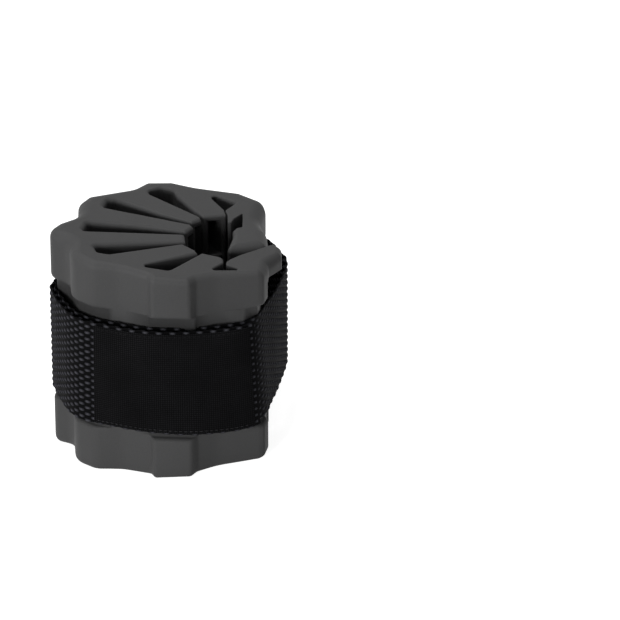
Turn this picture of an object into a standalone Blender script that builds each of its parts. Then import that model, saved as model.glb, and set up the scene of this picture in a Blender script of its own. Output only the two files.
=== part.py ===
"""Wrap-round protector pad for a bike frame, as a Blender model in metres.

One moulded rubber body, lobed outside and slotted inside, opens at a slanting mouth so that it
goes round a frame tube. A webbing strap is anchored in its wall and winds round its waist.
"""

import math
from typing import NamedTuple

import bpy
import numpy as np
from mathutils import Matrix, Vector

MM = 0.001

# Body: heights along the tube, and the slope of both end faces towards the mouth
BODY_HEIGHT = 101.5
FACE_SLOPE = 0.0745
WAIST_HEIGHT = 60.5
PAD_END_ROUND = 2.0
SHOULDER_RISE = 0.15
SHOULDER_INSET = 0.35
FOOT_RIM_SHARE = 0.67
CROWN_RIM_STEPS = 4
FOOT_RIM_STEPS = 3
LIP_DEPTH = 8.0
LIP_UNDERSIDE = 0.3
WIDE_BEND = 3.0
WIDE_BEND_STEP = 17.0
TIGHT_BEND_STEP = 55.0
LEAST_BEND = 0.25
BEND_SHARE_OF_EDGE = 0.45
LEAST_MITRE = 0.35
SHARP_EDGE = 35.0

# Rim fillets, by where they run
LOBE_RIM = 6.0
END_RIM = 1.7
SLOT_RIM = 2.2
THIN_RIM = 0.8
NARROW_LOBE_RIM = 5.0
VALLEY_BEND = 26.0

# How far the lobes' end pads stand proud of the waist. The valleys between them run straight down
PROUD = 2.0
PROUD_LOW = 1.5
PROUD_HIGH = 2.6

# Pockets moulded into the ends of the wedges, in rows along the tube
POCKET_ROWS = 5
POCKET_HEIGHT = 17.2
POCKET_PITCH = 19.0
POCKET_DEPTH = 14.0
POCKET_RUN_IN = 3.0

# Slot through the wall that anchors the strap
ANCHOR_AT = (28.1, 35.5)
ANCHOR_ANGLE = 60.0
ANCHOR_WIDTH = 5.0
ANCHOR_HEIGHT = 56.0
ANCHOR_INWARD = 3.0
ANCHOR_OUTWARD = 16.0
ANCHOR_END_STEPS = 8

# Webbing strap, its rolled hem, its closing tapes and its label
WEBBING_WIDTH = 50.0
WEBBING_THICK = 1.5
WEBBING_STEP = 7.0
WEBBING_CORNER_STEP = 12.0
RING_CENTRE = (-0.3, 3.5)
STRAP_END = 677.0
HEM_CENTRE = (28.15, 31.6)
HEM_INNER = 1.0
HEM_OUTER = 2.05
HEM_TURN = 216.0
HEM_STEPS = 9
ANCHOR_BEND = 2.0
ANCHOR_BEND_STEPS = 5
LAP_GAP = 0.3
TAPES_LOOSE = 0.4
TAPE_THICK = 1.0
TAPE_WIDTH = 46.0
TAPE_START = 236.0
TAPE_END = 311.0
LABEL_THICK = 0.5
LABEL_WIDTH = 48.0
LABEL_START = 236.6
LABEL_END = 313.0

# How far the strap stands off the waist, as (angle, distance) knots. Angles go on past a turn
FIRST_LAP = [
    (40.0, 0.35),
    (90.0, 0.4),
    (180.0, 0.4),
    (250.0, 0.6),
    (292.0, 2.4),
    (318.0, 0.9),
    (340.0, 2.2),
    (372.0, 9.0),
    (400.0, 4.4),
    (411.0, 2.7),
    (420.0, 2.3),
]
STRAP_START = 62.0
LAPS_CROSS = 411.0
LAPS_CROSS_SPAN = 25.0
TAPES_FROM = 560.0
TAPES_FULL = 582.0
TAPES_LOOSEST = 640.0
LAPS_END = 680.0

# Colour and roughness of each material
RUBBER = ((0.055, 0.055, 0.057), 0.62)
WEBBING = ((0.012, 0.012, 0.013), 0.8)
LOOP_PILE = ((0.01, 0.01, 0.01), 0.95)
HOOK_FACE = ((0.01, 0.01, 0.01), 0.9)
LABEL_WEAVE = ((0.008, 0.008, 0.008), 0.75)

# The body leans by the slope of its foot face, so that this face lies flat on z = 0
FOOT_POINT = (0.0, -5.5)


class Corner(NamedTuple):
    """A corner of the outline: its place, plan bend, rim fillet, how proud the pads stand there,
    and its place below the lip, where that differs."""

    x: float
    y: float
    bend: float
    rim: float
    proud: float = 0.0
    tuck: tuple = ()


class Level(NamedTuple):
    """One closed ring of the body: the side it belongs to (1 crown, -1 foot), how far round the
    rim fillet it lies, its distance below the end face or its fixed height, and its outline."""

    side: int
    round_angle: float
    below_face: float = 0.0
    height: float = None
    waist_share: float = 0.0
    tucked: bool = True


class Pocket(NamedTuple):
    """A column of pockets: the middle of its opening, the way it runs in, and its width."""

    x: float
    y: float
    angle: float
    width: float


def corners(points, bend, rim, proud=0.0):
    """Corners in a row that share their bend, rim and stand."""
    return [Corner(x, y, bend, rim, proud) for x, y in points]


def outline():
    """The body's outline, counter-clockwise from the free arm's end. The slots open into the
    central passage, and that opens through the mouth, so that one closed line bounds it all."""
    arm_and_lobes = [
        Corner(47.9, -5.9, 3.0, 5.0, PROUD),
        Corner(47.4, 8.5, 5.0, LOBE_RIM, PROUD),
        Corner(44.0, 18.0, VALLEY_BEND, LOBE_RIM),
        Corner(46.6, 33.5, 5.0, LOBE_RIM, PROUD),
        Corner(45.8, 38.3, 4.5, LOBE_RIM, PROUD),
        Corner(35.2, 45.6, 5.0, LOBE_RIM, PROUD),
        Corner(15.0, 48.4, VALLEY_BEND, LOBE_RIM),
        Corner(4.0, 52.0, 5.0, LOBE_RIM, PROUD),
        Corner(-8.5, 50.0, 4.0, LOBE_RIM, PROUD),
        Corner(-13.5, 41.8, VALLEY_BEND, NARROW_LOBE_RIM),
        Corner(-34.0, 32.2, 4.5, LOBE_RIM, PROUD),
        Corner(-37.6, 25.5, 4.5, LOBE_RIM, PROUD),
        Corner(-37.2, 12.8, VALLEY_BEND, LOBE_RIM),
        Corner(-45.8, 3.8, 5.0, NARROW_LOBE_RIM, PROUD_HIGH),
        Corner(-49.2, -2.0, 4.0, NARROW_LOBE_RIM, PROUD_HIGH),
        Corner(-48.4, -6.4, 4.0, NARROW_LOBE_RIM, PROUD_HIGH),
        Corner(-40.0, -12.5, VALLEY_BEND, LOBE_RIM),
        Corner(-38.8, -26.0, 4.0, LOBE_RIM, PROUD_LOW),
        Corner(-29.7, -33.8, 4.0, LOBE_RIM, PROUD_LOW),
        Corner(-17.5, -35.2, VALLEY_BEND, 3.2),
        Corner(-2.4, -44.8, 4.0, LOBE_RIM, PROUD_LOW),
        Corner(13.7, -45.7, 4.0, LOBE_RIM, PROUD_LOW),
        Corner(25.2, -37.4, VALLEY_BEND, 3.0),
        Corner(43.0, -33.5, 4.0, 2.2, PROUD),
        Corner(46.2, -32.2, 3.0, 4.2, PROUD_HIGH),
        Corner(48.0, -26.0, 3.0, 4.6, PROUD_HIGH),
    ]
    beak = [
        Corner(48.2, -22.0, 3.0, 4.0, PROUD, (46.6, -22.0)),
        Corner(54.0, -13.4, 3.0, 3.0, PROUD, (46.6, -17.0)),
        Corner(53.9, -7.6, 3.0, 2.5, PROUD, (46.8, -12.5)),
        Corner(50.2, -4.4, 1.5, 1.4, 1.0, (46.9, -9.5)),
        Corner(48.3, -6.4, 1.0, THIN_RIM, 0.0, (46.6, -8.0)),
    ]
    mouth_wall = corners([(35.2, -17.4), (31.2, -21.7), (29.6, -24.3)], 2.0, 1.0)
    slit_slot = [
        Corner(29.6, -27.3, 0.8, THIN_RIM),
        Corner(37.4, -31.3, 1.3, THIN_RIM),
        Corner(22.4, -33.5, 1.0, THIN_RIM),
        Corner(28.3, -25.9, 0.8, THIN_RIM),
    ]
    wedge_56 = [
        Corner(28.3, -22.1, 1.5, 1.2),
        Corner(27.2, -19.9, 1.5, END_RIM),
        Corner(18.65, -17.25, 0.6, END_RIM),
    ]
    slot_5 = [Corner(4.6, -35.2, 2.0, SLOT_RIM), Corner(-9.3, -34.0, 1.5, THIN_RIM)]
    wedge_45 = corners([(17.1, -18.3), (15.8, -15.0), (10.0, -9.85)], 0.8, END_RIM)
    slot_4 = corners([(-22.0, -23.6), (-27.0, -22.7), (-28.7, -17.9), (-27.0, -16.5)], 2.0, SLOT_RIM)
    wedge_34 = corners([(11.4, -8.9), (10.7, -0.75)], 0.8, END_RIM)
    slot_3 = [
        Corner(-34.6, -3.4, 1.2, SLOT_RIM),
        Corner(-32.6, 4.6, 2.0, SLOT_RIM),
        Corner(-10.0, 3.5, 2.0, SLOT_RIM),
    ]
    wedge_23 = corners([(11.2, 0.55), (14.6, 6.4), (13.3, 9.15)], 0.8, END_RIM)
    slot_2 = [
        Corner(-26.0, 20.4, 1.2, SLOT_RIM),
        Corner(-24.4, 27.5, 2.0, SLOT_RIM),
        Corner(-20.8, 28.2, 2.0, SLOT_RIM),
        Corner(0.0, 16.1, 2.0, SLOT_RIM),
    ]
    wedge_12 = corners([(13.8, 10.2), (17.8, 13.9), (17.4, 17.0)], 0.8, END_RIM)
    slot_1 = [
        Corner(-8.3, 37.4, 3.0, 1.0),
        Corner(-1.0, 42.5, 3.0, 1.4),
        Corner(4.5, 41.1, 3.0, 1.4),
        Corner(6.5, 35.3, 3.0, SLOT_RIM),
        Corner(14.5, 21.4, 3.0, SLOT_RIM),
    ]
    wedge_01 = corners([(18.55, 16.7), (29.1, 19.4)], 0.8, 1.2)
    slot_0 = [
        Corner(27.9, 24.7, 0.6, 0.5),
        Corner(19.8, 40.2, 1.5, SLOT_RIM),
        Corner(32.6, 32.9, 1.0, SLOT_RIM),
        Corner(28.45, 24.2, 0.5, 0.5),
    ]
    nose = [
        Corner(29.7, 19.5, 1.5, 0.5),
        Corner(29.9, 12.9, 0.4, 0.5),
        Corner(31.3, 13.0, 0.4, 0.5),
        Corner(32.4, 16.6, 2.0, 0.5),
        Corner(36.4, 22.6, 0.3, 0.5),
    ]
    arm_inside = [
        Corner(36.3, 9.9, 0.8, 1.0),
        Corner(33.6, 8.6, 1.5, 1.5),
        Corner(32.0, 6.0, 1.5, 2.0),
        Corner(32.3, 1.4, 2.0, 2.5),
        Corner(29.5, -12.2, 1.5, 3.5),
    ]
    return (
        arm_and_lobes + beak + mouth_wall + slit_slot + wedge_56 + slot_5 + wedge_45 + slot_4
        + wedge_34 + slot_3 + wedge_23 + slot_2 + wedge_12 + slot_1 + wedge_01 + slot_0 + nose
        + arm_inside
    )


POCKETS = [
    Pocket(24.0, 18.1, 120.0, 6.2),
    Pocket(16.9, 12.9, 149.0, 4.2),
    Pocket(13.0, 4.6, 166.0, 4.8),
    Pocket(11.1, -4.8, 186.0, 4.4),
    Pocket(13.9, -13.9, 207.0, 4.8),
    Pocket(23.4, -18.9, 232.0, 4.6),
]


def left_normals(points):
    """The unit normal to the left of the edge that leaves each point."""
    run = np.roll(points, -1, axis=0) - points
    run = run / np.linalg.norm(run, axis=1)[:, None]
    return np.stack([-run[:, 1], run[:, 0]], axis=1)


def inset(points, distance):
    """The points moved to the left of both their edges by their own distances."""
    after = left_normals(points)
    before = np.roll(after, 1, axis=0)
    mitre = np.maximum(1.0 + (before * after).sum(axis=1), LEAST_MITRE)
    return points + (distance / mitre)[:, None] * (before + after)


def bend_steps(line):
    """How many facets each corner's bend takes. It is the same at every level of the body."""
    points = np.array([(c.x, c.y) for c in line])
    after = left_normals(points)
    before = np.roll(after, 1, axis=0)
    turn = np.degrees(np.arccos(np.clip((before * after).sum(axis=1), -1.0, 1.0)))
    step = np.where([c.bend >= WIDE_BEND for c in line], WIDE_BEND_STEP, TIGHT_BEND_STEP)
    return np.maximum(np.ceil(turn / step).astype(int), 1)


def rounded(points, bends, steps, closed=True):
    """The points with each corner swept into an arc of its own bend, in its own number of steps."""
    found = []
    count = len(points)
    for i, point in enumerate(points):
        if not closed and i in (0, count - 1):
            found.append((point, i))
            continue
        back = points[i - 1] - point
        ahead = points[(i + 1) % count] - point
        reach = BEND_SHARE_OF_EDGE * min(np.linalg.norm(back), np.linalg.norm(ahead))
        back = back / np.linalg.norm(back)
        ahead = ahead / np.linalg.norm(ahead)
        half = 0.5 * (math.pi - math.acos(np.clip(back @ ahead, -1.0, 1.0)))
        reach = min(bends[i] * math.tan(half), reach)
        middle = (back + ahead) / np.linalg.norm(back + ahead)
        radius = reach / math.tan(half)
        centre = point + middle * (radius / math.cos(half))
        for k in range(steps[i] + 1):
            angle = half * (2.0 * k / steps[i] - 1.0)
            across = ahead - back
            across = across / np.linalg.norm(across)
            found.append((centre + radius * (math.sin(angle) * across - math.cos(angle) * middle), i))
    return np.array([p for p, _ in found]), [i for _, i in found]


def end_height(x):
    """Half the body's height where it crosses x."""
    return BODY_HEIGHT / 2 - FACE_SLOPE * x


def body_ring(line, steps, level):
    """The closed ring of body points at one level."""
    points = np.array([c.tuck if level.tucked and c.tuck else (c.x, c.y) for c in line])
    share = FOOT_RIM_SHARE if level.side < 0 else 1.0
    rims = share * np.array([c.rim for c in line])
    turned = math.radians(level.round_angle)
    moved = rims * (1.0 - math.cos(turned)) + level.waist_share * np.array([c.proud for c in line])
    after = left_normals(points)
    before = np.roll(after, 1, axis=0)
    convex = before[:, 0] * after[:, 1] - before[:, 1] * after[:, 0] > 0.0
    bends = np.array([c.bend for c in line])
    bends = np.maximum(np.where(convex, bends - moved, bends + moved), LEAST_BEND)
    plan, owner = rounded(inset(points, moved), bends, steps)
    if level.height is not None:
        heights = np.full(len(plan), level.height)
    else:
        drop = rims[owner] * (1.0 - math.sin(turned)) if level.round_angle else rims[owner]
        drop = np.where(level.below_face > 0.0, level.below_face, drop)
        heights = level.side * (end_height(plan[:, 0]) - drop)
    return np.column_stack([plan, heights])


def body_levels():
    """The body's rings from foot to crown."""
    foot = [Level(-1, 90.0 * k / FOOT_RIM_STEPS) for k in range(FOOT_RIM_STEPS, -1, -1)]
    crown = [Level(1, 90.0 * k / CROWN_RIM_STEPS, tucked=False) for k in range(CROWN_RIM_STEPS + 1)]
    half = WAIST_HEIGHT / 2
    rise = SHOULDER_RISE * PAD_END_ROUND
    shoulder = [(PAD_END_ROUND, 0.0), (rise, SHOULDER_INSET), (0.0, 1.0)]
    lower = [Level(-1, 0.0, height=-half - up, waist_share=share) for up, share in shoulder]
    upper = [Level(1, 0.0, height=half + up, waist_share=share) for up, share in reversed(shoulder)]
    lip = [
        Level(1, 0.0, below_face=LIP_DEPTH + LIP_UNDERSIDE),
        Level(1, 0.0, below_face=LIP_DEPTH, tucked=False),
    ]
    return foot + lower + upper + lip + crown


def add_object(name, vertices, faces, material=None):
    """A mesh object from points in millimetres, smooth but for its sharp edges."""
    mesh = bpy.data.meshes.new(name)
    mesh.from_pydata([Vector(v) * MM for v in vertices], [], faces)
    mesh.update()
    mesh.shade_smooth()
    mesh.set_sharp_from_angle(angle=math.radians(SHARP_EDGE))
    obj = bpy.data.objects.new(name, mesh)
    bpy.context.scene.collection.objects.link(obj)
    if material is not None:
        mesh.materials.append(material)
    return obj


def stacked(rings):
    """Vertices and faces of a solid that runs through rings of equal count, with flat ends."""
    count = len(rings[0])
    faces = [tuple(reversed(range(count)))]
    for low in range(0, (len(rings) - 1) * count, count):
        for i in range(count):
            j = (i + 1) % count
            faces.append((low + i, low + j, low + count + j, low + count + i))
    faces.append(tuple(range((len(rings) - 1) * count, len(rings) * count)))
    return np.concatenate(rings), faces


def add_material(name, finish):
    """A plain Principled material of its own for one piece."""
    colour, roughness = finish
    material = bpy.data.materials.new(name)
    material.use_nodes = True
    shader = material.node_tree.nodes["Principled BSDF"]
    shader.inputs["Base Color"].default_value = (*colour, 1.0)
    shader.inputs["Roughness"].default_value = roughness
    material.diffuse_color = (*colour, 1.0)
    return material


def unit(degrees):
    """The plan direction at this angle."""
    return np.array([math.cos(math.radians(degrees)), math.sin(math.radians(degrees))])


def add_pocket_cutter():
    """Every pocket of every wedge, as one cutter of separate blocks."""
    vertices = []
    faces = []
    for pocket in POCKETS:
        way = unit(pocket.angle)
        side = unit(pocket.angle + 90.0) * pocket.width / 2
        mouth = np.array([pocket.x, pocket.y]) - POCKET_RUN_IN * way
        back = np.array([pocket.x, pocket.y]) + POCKET_DEPTH * way
        plan = [mouth - side, back - side, back + side, mouth + side]
        for row in range(POCKET_ROWS):
            middle = (row - (POCKET_ROWS - 1) / 2) * POCKET_PITCH
            ends = (middle - POCKET_HEIGHT / 2, middle + POCKET_HEIGHT / 2)
            block, sides = stacked([np.array([(*p, z) for p in plan]) for z in ends])
            faces += [tuple(i + len(vertices) for i in face) for face in sides]
            vertices += block.tolist()
    return add_object("pocket_cutter", vertices, faces)


def add_anchor_cutter():
    """The slot in the wall that the strap passes through, with half-round ends."""
    way = unit(ANCHOR_ANGLE)
    side = unit(ANCHOR_ANGLE - 90.0)
    radius = ANCHOR_WIDTH / 2
    straight = ANCHOR_HEIGHT / 2 - radius
    profile = []
    for k in range(2 * ANCHOR_END_STEPS + 2):
        end = 1.0 if k <= ANCHOR_END_STEPS else -1.0
        angle = math.pi * (k - (k > ANCHOR_END_STEPS)) / ANCHOR_END_STEPS
        profile.append((radius * math.cos(angle), end * straight + radius * math.sin(angle)))
    rings = []
    for run in (ANCHOR_OUTWARD, -ANCHOR_INWARD):
        at = np.array(ANCHOR_AT) + run * way
        rings.append(np.array([(*(at + across * side), z) for across, z in profile]))
    vertices, faces = stacked(rings)
    return add_object("anchor_cutter", vertices, faces)


def cut(obj, cutter):
    """Cuts the cutter from the object and hides it from renders."""
    modifier = obj.modifiers.new(cutter.name, "BOOLEAN")
    modifier.operation = "DIFFERENCE"
    modifier.solver = "EXACT"
    modifier.object = cutter
    cutter.hide_render = True
    cutter.display_type = "WIRE"


def add_body(line):
    """The moulded rubber body: its rings, less the pockets and the anchor slot."""
    steps = bend_steps(line)
    rings = [body_ring(line, steps, level) for level in body_levels()]
    vertices, faces = stacked(rings)
    body = add_object("pad_body", vertices, faces, add_material("pad_rubber", RUBBER))
    cut(body, add_pocket_cutter())
    cut(body, add_anchor_cutter())
    return body


def hull(points):
    """The convex hull of plan points, counter-clockwise."""
    ordered = sorted(map(tuple, points))
    halves = []
    for run in (ordered, ordered[::-1]):
        half = []
        for p in run:
            while len(half) > 1:
                (ax, ay), (bx, by) = half[-2], half[-1]
                if (bx - ax) * (p[1] - by) - (by - ay) * (p[0] - bx) > 0.0:
                    break
                half.pop()
            half.append(p)
        halves.append(half[:-1])
    return np.array(halves[0] + halves[1])


def taut_line(line):
    """Points and outward normals once round the waist's hull, and their angles about the ring's
    centre, from the lowest to the highest."""
    waist = Level(1, 0.0, height=0.0, waist_share=1.0)
    edge = hull(body_ring(line, bend_steps(line), waist)[:, :2])
    outward = -left_normals(edge)
    found = []
    for i, point in enumerate(edge):
        first, last = (math.atan2(n[1], n[0]) for n in (outward[i - 1], outward[i]))
        sweep = (last - first) % (2.0 * math.pi)
        arcs = math.ceil(math.degrees(sweep) / WEBBING_CORNER_STEP)
        for k in range(arcs + 1):
            found.append((point, unit(math.degrees(first + sweep * k / arcs))))
        run = edge[(i + 1) % len(edge)] - point
        parts = math.ceil(np.linalg.norm(run) / WEBBING_STEP)
        found += [(point + run * k / parts, outward[i]) for k in range(1, parts)]
    points = np.array([p for p, _ in found])
    normals = np.array([n for _, n in found])
    angles = np.degrees(np.arctan2(*(points - RING_CENTRE).T[::-1])) % 360.0
    first = int(np.argmin(angles))
    return tuple(np.roll(a, -first, axis=0) for a in (points, normals, angles))


def eased(knots, at):
    """A smooth curve through the (angle, value) knots, with no overshoot between them."""
    x, y = np.array(knots).T
    steep = np.diff(y) / np.diff(x)
    both = steep[:-1] * steep[1:]
    inner = np.where(both > 0.0, 2.0 * both / np.where(both > 0.0, steep[:-1] + steep[1:], 1.0), 0.0)
    slope = np.concatenate([[0.0], inner, [0.0]])
    i = np.clip(np.searchsorted(x, at) - 1, 0, len(x) - 2)
    width = x[i + 1] - x[i]
    t = (at - x[i]) / width
    return (
        y[i] * (1 + 2 * t) * (1 - t) ** 2 + width * slope[i] * t * (1 - t) ** 2
        + y[i + 1] * t * t * (3 - 2 * t) + width * slope[i + 1] * t * t * (t - 1)
    )


def first_lap(angle):
    """How far the first lap's inner face stands off the waist's hull, up to where it has come
    round to its own start. Over the mouth it swells out, and there the strap lies on nothing."""
    return eased(FIRST_LAP, angle)


def lap_gap(angle):
    """The gap between the two laps, which takes both closing tapes over the front."""
    both_tapes = 2 * TAPE_THICK + 3 * LAP_GAP
    knots = [
        (LAPS_CROSS, LAP_GAP),
        (TAPES_FROM, LAP_GAP),
        (TAPES_FULL, both_tapes),
        (TAPES_LOOSEST, both_tapes + TAPES_LOOSE),
        (LAPS_END, both_tapes),
    ]
    return eased(knots, angle)


def stand_off(angle):
    """How far the strap's inner face stands off the hull, at an angle counted on past a turn."""
    if angle <= LAPS_CROSS:
        return first_lap(angle)
    second = first_lap(angle - 360.0) + WEBBING_THICK + lap_gap(angle)
    blend = min((angle - LAPS_CROSS) / LAPS_CROSS_SPAN, 1.0)
    last_angle = FIRST_LAP[-1][0]
    return first_lap(min(angle, last_angle)) * (1.0 - blend) + second * blend


def lap_points(taut, start, end, offset):
    """The plan line of a strip between two angles, its middle this far outside the strap's inner face."""
    points, normals, angles = taut
    found = []
    for turn in (0.0, 360.0):
        for point, normal, angle in zip(points, normals, angles + turn):
            if start <= angle <= end:
                found.append(point + (stand_off(angle) + offset) * normal)
    return np.array(found)


def strap_line(taut):
    """The webbing's middle line: the rolled hem, the way through the anchor slot, and the laps."""
    way = unit(ANCHOR_ANGLE)
    leave = ANCHOR_ANGLE + 90.0
    hem = []
    for k in range(HEM_STEPS + 1):
        share = k / HEM_STEPS
        radius = HEM_INNER + share * (HEM_OUTER - HEM_INNER)
        hem.append(np.array(HEM_CENTRE) + radius * unit(leave + HEM_TURN * (1.0 - share)))
    laps = lap_points(taut, STRAP_START, STRAP_END, WEBBING_THICK / 2)
    run = laps[1] - laps[0]
    reach = np.linalg.solve(np.column_stack([way, -run]), laps[0] - hem[-1])[0]
    turn = hem[-1] + reach * way
    points = np.array([hem[-1], turn, laps[0]])
    bent, _ = rounded(points, [0.0, ANCHOR_BEND, 0.0], [0, ANCHOR_BEND_STEPS, 0], closed=False)
    return np.concatenate([hem[:-1], bent, laps[1:]])


def add_strip(name, path, thick, width, material):
    """A flat strip that stands on edge along a plan line."""
    run = np.gradient(path, axis=0)
    run = run / np.linalg.norm(run, axis=1)[:, None]
    side = np.stack([-run[:, 1], run[:, 0]], axis=1) * thick / 2
    rings = []
    for at, across in zip(path, side):
        rings.append(
            np.array([
                (*(at - across), -width / 2),
                (*(at + across), -width / 2),
                (*(at + across), width / 2),
                (*(at - across), width / 2),
            ])
        )
    vertices, faces = stacked(rings)
    return add_object(name, vertices, faces, material)


def add_strap(line):
    """The webbing, the two tapes that close it and the label on its outer end."""
    taut = taut_line(line)
    add_strip(
        "strap_webbing", strap_line(taut), WEBBING_THICK, WEBBING_WIDTH,
        add_material("webbing", WEBBING),
    )
    over_first = WEBBING_THICK + LAP_GAP + TAPE_THICK / 2
    add_strip(
        "loop_tape", lap_points(taut, TAPE_START, TAPE_END, over_first), TAPE_THICK, TAPE_WIDTH,
        add_material("loop_pile", LOOP_PILE),
    )
    under_second = -LAP_GAP - TAPE_THICK / 2
    add_strip(
        "hook_tape", lap_points(taut, TAPE_START + 360.0, TAPE_END + 360.0, under_second),
        TAPE_THICK, TAPE_WIDTH, add_material("hook_face", HOOK_FACE),
    )
    over_second = WEBBING_THICK + LAP_GAP + LABEL_THICK / 2
    add_strip(
        "label_patch", lap_points(taut, LABEL_START + 360.0, LABEL_END + 360.0, over_second),
        LABEL_THICK, LABEL_WIDTH, add_material("label_weave", LABEL_WEAVE),
    )


def place_on_foot():
    """Leans everything by the foot face's slope and sets that face on z = 0."""
    lean = Matrix.Rotation(math.atan(FACE_SLOPE), 4, "Y")
    foot = Vector((*FOOT_POINT, -end_height(FOOT_POINT[0]))) * MM
    for obj in bpy.data.objects:
        obj.data.transform(lean @ Matrix.Translation(-foot))


def main():
    for obj in list(bpy.data.objects):
        bpy.data.objects.remove(obj)
    line = outline()
    add_body(line)
    add_strap(line)
    place_on_foot()


main()
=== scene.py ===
"""Looks of the wrap-round bike frame protector pad: moulded rubber, webbing strap and label.

Lengths are in millimetres in the pad's own upright frame, whose middle plane is z = 0, until
each finished mesh is scaled to metres and leaned so that the foot face lies on the floor.
"""

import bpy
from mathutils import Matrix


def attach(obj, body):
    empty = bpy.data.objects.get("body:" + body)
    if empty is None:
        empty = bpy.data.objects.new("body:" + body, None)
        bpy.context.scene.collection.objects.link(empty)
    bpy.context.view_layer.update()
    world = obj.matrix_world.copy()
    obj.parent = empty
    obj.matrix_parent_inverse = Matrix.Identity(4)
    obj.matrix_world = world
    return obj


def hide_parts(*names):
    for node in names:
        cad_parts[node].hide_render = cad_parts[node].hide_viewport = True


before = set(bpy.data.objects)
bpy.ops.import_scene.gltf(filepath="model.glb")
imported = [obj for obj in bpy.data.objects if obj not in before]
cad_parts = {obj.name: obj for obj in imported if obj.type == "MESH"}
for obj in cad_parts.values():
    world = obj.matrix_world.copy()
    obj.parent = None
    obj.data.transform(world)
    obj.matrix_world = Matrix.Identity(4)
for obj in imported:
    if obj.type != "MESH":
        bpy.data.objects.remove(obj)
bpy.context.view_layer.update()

import logging
import math
from dataclasses import dataclass, field
from enum import Enum
from typing import Callable, Sequence

import bmesh
import bpy
import numpy as np
from bpy.types import Material, Node, NodeSocket, NodeTree, Object
from mathutils import Matrix, Vector

LOG = logging.getLogger("protector_pad")
MM = 0.001
BODY = "root"
RGB = tuple[float, float, float]
BMesh = bmesh.types.BMesh
Array = np.ndarray


# The pad's outline


@dataclass(frozen=True)
class Corner:
    """A corner of the pad's outline: its place, its bend in plan, the fillet of the rim there,
    how proud the end pads stand, and its place below the lip where that differs."""

    x: float
    y: float
    bend: float
    rim: float
    proud: float = 0.0
    tuck: tuple[float, ...] = ()


class Side(Enum):
    """The two ends of the pad."""

    FOOT = -1
    CROWN = 1


@dataclass(frozen=True)
class Level:
    """One ring of the pad: how far round a rim fillet, below an end face or at what height."""

    side: Side
    round_angle: float = 0.0
    below_face: float = 0.0
    height: float | None = None
    waist_share: float = 0.0
    tucked: bool = True


# The rim's fillet by where it runs, how far the end pads stand proud of the waist, and the
# bend of a valley between two lobes
LOBE_RIM = 6.0
NARROW_RIM = 5.0
END_RIM = 1.7
SLOT_RIM = 2.2
THIN_RIM = 0.8
PROUD = 2.0
PROUD_HIGH = 2.6
PROUD_LEFT = 3.0
PROUD_FRONT = 3.8
PROUD_RIGHT = 3.4
VALLEY = 26.0

# The pad's outside from the free arm's end to the beak, counter-clockwise, as rows of what a
# Corner holds
OUTSIDE = (
    (47.9, -5.9, 3.0, 5.0, PROUD),
    (47.4, 8.5, 5.0, LOBE_RIM, PROUD),
    (44.0, 18.0, VALLEY, LOBE_RIM),
    (46.6, 33.5, 5.0, LOBE_RIM, PROUD),
    (45.8, 38.3, 4.5, LOBE_RIM, PROUD),
    (35.2, 45.6, 5.0, LOBE_RIM, PROUD),
    (15.0, 48.4, VALLEY, LOBE_RIM),
    (4.0, 52.0, 5.0, LOBE_RIM, PROUD),
    (-8.5, 50.0, 4.0, LOBE_RIM, PROUD),
    (-13.5, 41.8, VALLEY, NARROW_RIM),
    (-34.0, 32.2, 4.5, LOBE_RIM, PROUD),
    (-37.6, 25.5, 4.5, LOBE_RIM, PROUD),
    (-37.2, 12.8, VALLEY, LOBE_RIM),
    (-45.8, 3.8, 8.0, NARROW_RIM, PROUD_HIGH),
    (-49.2, -2.0, 7.0, NARROW_RIM, PROUD_HIGH),
    (-48.4, -6.4, 7.0, NARROW_RIM, PROUD_HIGH),
    (-40.0, -12.5, VALLEY, LOBE_RIM),
    (-38.8, -26.0, 10.0, 4.5, PROUD_LEFT),
    (-29.7, -33.8, 9.0, 4.0, PROUD_LEFT),
    (-22.5, -34.62, VALLEY, 3.6),
    (-17.5, -35.2, VALLEY, 3.2),
    (-4.7, -40.9, 3.0, 3.2),
    (-2.9, -44.8, 2.2, 3.2, PROUD_FRONT),
    (13.8, -45.7, 2.6, 3.2, PROUD_FRONT),
    (16.6, -41.6, 3.0, 3.2),
    (25.2, -37.4, VALLEY, 3.0),
    (38.8, -34.4, 8.0, 2.6),
    (43.8, -33.3, 3.0, 2.6, PROUD_RIGHT),
    (46.2, -32.2, 3.0, 3.6, PROUD_RIGHT),
    (48.0, -26.0, 3.0, 4.6, PROUD_RIGHT),
    (48.2, -22.0, 3.0, 4.0, PROUD, (46.6, -22.0)),
    (54.0, -13.4, 3.0, 3.0, PROUD, (46.6, -17.0)),
    (53.9, -7.6, 3.0, 2.5, PROUD, (46.8, -12.5)),
    (50.2, -4.4, 1.5, 1.4, 1.0, (46.9, -9.5)),
    (48.3, -6.4, 1.0, THIN_RIM, 0.0, (46.6, -8.0)),
)

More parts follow.
